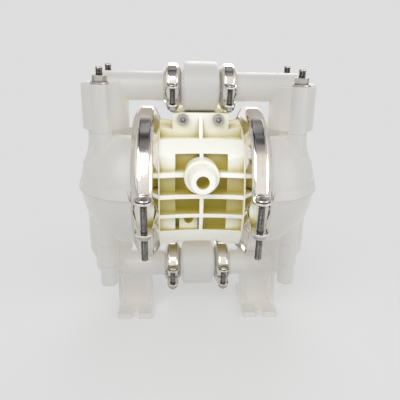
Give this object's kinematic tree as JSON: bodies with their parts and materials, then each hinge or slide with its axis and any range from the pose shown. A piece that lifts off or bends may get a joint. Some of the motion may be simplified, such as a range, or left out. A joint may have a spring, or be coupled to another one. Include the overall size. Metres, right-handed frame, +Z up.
{
  "type": "air operated diaphragm pump",
  "caption": "Clamp-banded plastic air operated double diaphragm pump with ball valves, tee manifolds, slotted feet and a rear air valve.",
  "frame": {"origin": "on the floor, midway between the two feet and under the shaft axis", "axes": "+X along the pump shaft to the right seen from the air inlet boss, +Y to the rear, towards the fluid ports and the air valve, +Z up"},
  "size_m": [0.232, 0.178, 0.2528],
  "materials": {
    "natural_plastic": "satin",
    "ivory_plastic": "satin",
    "polished_steel": "polished",
    "bolt_steel": "satin",
    "ptfe": "satin",
    "seal_rubber": "matte"
  },
  "bodies": {
    "casing": {"liquid_chamber_left": "natural_plastic", "liquid_chamber_right": "natural_plastic", "discharge_elbow_left": "natural_plastic", "discharge_elbow_right": "natural_plastic", "inlet_elbow_left": "natural_plastic", "inlet_elbow_right": "natural_plastic", "discharge_tee": "natural_plastic", "inlet_tee": "natural_plastic", "centre_block": "ivory_plastic", "air_valve_body": "ivory_plastic", "air_valve_cap_top": "ivory_plastic", "air_valve_cap_bottom": "ivory_plastic", "large_clamp_left_upper": "polished_steel", "large_clamp_left_lower": "polished_steel", "large_clamp_right_upper": "polished_steel", "large_clamp_right_lower": "polished_steel", "discharge_clamp_left_upper": "polished_steel", "discharge_clamp_left_lower": "polished_steel", "discharge_clamp_right_upper": "polished_steel", "discharge_clamp_right_lower": "polished_steel", "inlet_clamp_left_upper": "polished_steel", "inlet_clamp_left_lower": "polished_steel", "inlet_clamp_right_upper": "polished_steel", "inlet_clamp_right_lower": "polished_steel", "large_clamp_bolts": "bolt_steel", "large_clamp_nuts": "bolt_steel", "small_clamp_bolts": "bolt_steel", "small_clamp_nuts": "bolt_steel", "manifold_bolts": "bolt_steel", "manifold_nuts": "bolt_steel", "manifold_washers": "bolt_steel", "air_valve_screws": "bolt_steel", "air_valve_nuts": "bolt_steel", "air_valve_snap_rings": "bolt_steel", "manifold_o_rings": "ptfe", "seat_o_rings": "ptfe", "diaphragm_left": "ptfe", "diaphragm_right": "ptfe", "shaft_bushings": "ptfe", "shaft_seals": "ptfe", "valve_seats": "natural_plastic", "pilot_sleeve": "natural_plastic", "air_valve_gasket": "seal_rubber"},
    "shaft_group": {"pump_shaft": "bolt_steel", "inner_piston_left": "natural_plastic", "inner_piston_right": "natural_plastic", "outer_piston_left": "natural_plastic", "outer_piston_right": "natural_plastic"},
    "pilot": {"pilot_spool": "natural_plastic"},
    "main_spool": {"air_valve_spool": "natural_plastic"},
    "ball_inlet_left": {"valve_ball_inlet_left": "ptfe"},
    "ball_inlet_right": {"valve_ball_inlet_right": "ptfe"},
    "ball_discharge_left": {"valve_ball_discharge_left": "ptfe"},
    "ball_discharge_right": {"valve_ball_discharge_right": "ptfe"}
  },
  "joints": [
    {"name": "shaft_stroke", "type": "slide", "parent": "casing", "child": "shaft_group", "axis": [1, 0, 0], "range_m": [-0.008, 0.008], "deforming": ["diaphragm_left", "diaphragm_right"]},
    {"name": "pilot_shift", "type": "slide", "parent": "casing", "child": "pilot", "axis": [1, 0, 0], "range_m": [-0.004, 0.004]},
    {"name": "main_spool_shift", "type": "slide", "parent": "casing", "child": "main_spool", "axis": [0, 0, 1], "range_m": [-0.006, 0.006]},
    {"name": "ball_inlet_left_lift", "type": "slide", "parent": "casing", "child": "ball_inlet_left", "axis": [0, 0, 1], "range_m": [0, 0.0045]},
    {"name": "ball_inlet_right_lift", "type": "slide", "parent": "casing", "child": "ball_inlet_right", "axis": [0, 0, 1], "range_m": [0, 0.0045]},
    {"name": "ball_discharge_left_lift", "type": "slide", "parent": "casing", "child": "ball_discharge_left", "axis": [0, 0, 1], "range_m": [0, 0.0045]},
    {"name": "ball_discharge_right_lift", "type": "slide", "parent": "casing", "child": "ball_discharge_right", "axis": [0, 0, 1], "range_m": [0, 0.0045]}
  ],
  "couplings": [
    {"joint": "pilot_shift", "follows": "shaft_stroke", "ratio": 0.5}
  ]
}
